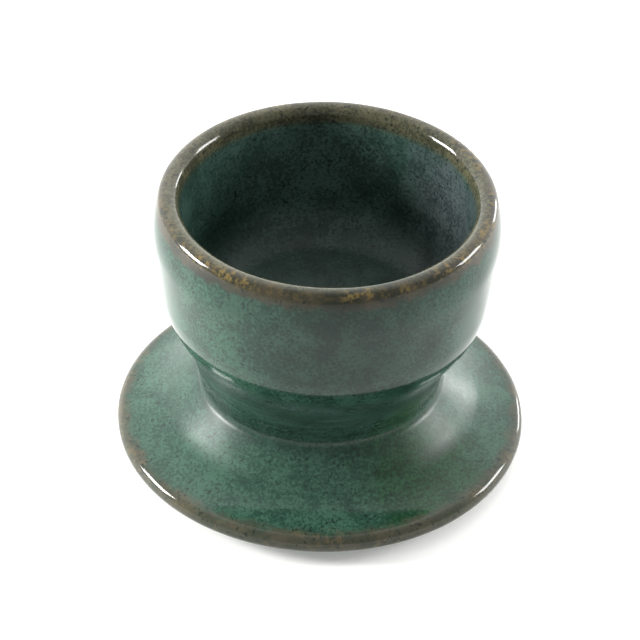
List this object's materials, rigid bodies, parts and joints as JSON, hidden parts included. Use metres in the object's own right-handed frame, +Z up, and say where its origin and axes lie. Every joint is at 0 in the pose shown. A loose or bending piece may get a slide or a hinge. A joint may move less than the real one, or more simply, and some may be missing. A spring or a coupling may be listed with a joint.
{
  "type": "inkwell",
  "caption": "Round glazed stoneware inkwell: an open bowl with a rolled lip on a narrow collar and a wide saucer base, holding ink for a dip pen.",
  "frame": {"origin": "on the table plane, under the axis of the pot, at the middle of the foot ring", "axes": "+Z up along the axis the pot was thrown on; -Y towards the viewer, +X to the viewer's right; the pot is round, so X and Y are alike"},
  "size_m": [0.08, 0.08, 0.0573],
  "materials": {
    "clay": "fired buff stoneware, matt, shown bare on the foot ring and in the hollow",
    "slip": "fired slip between the thrown members",
    "lip_glaze": "glossy glaze, thin at the edge, broken to brown and amber",
    "well_glaze": "glossy, very dark green",
    "body_glaze": "glossy grey-green with fine dark flecks",
    "pooled_glaze": "glossy, thick and dark where it pools in the corner",
    "rim_glaze": "glossy grey-green, broken to brown along the rim's outer edge"
  },
  "bodies": {
    "root": {"bowl": "clay", "upper_slip_joint": "slip", "collar": "clay", "lower_slip_joint": "slip", "saucer": "clay", "glaze_lip": "lip_glaze", "glaze_well": "well_glaze", "glaze_outside": "body_glaze", "glaze_seam": "pooled_glaze", "glaze_saucer_top": "body_glaze", "glaze_saucer_rim": "rim_glaze", "glaze_saucer_underside": "rim_glaze"}
  },
  "joints": []
}
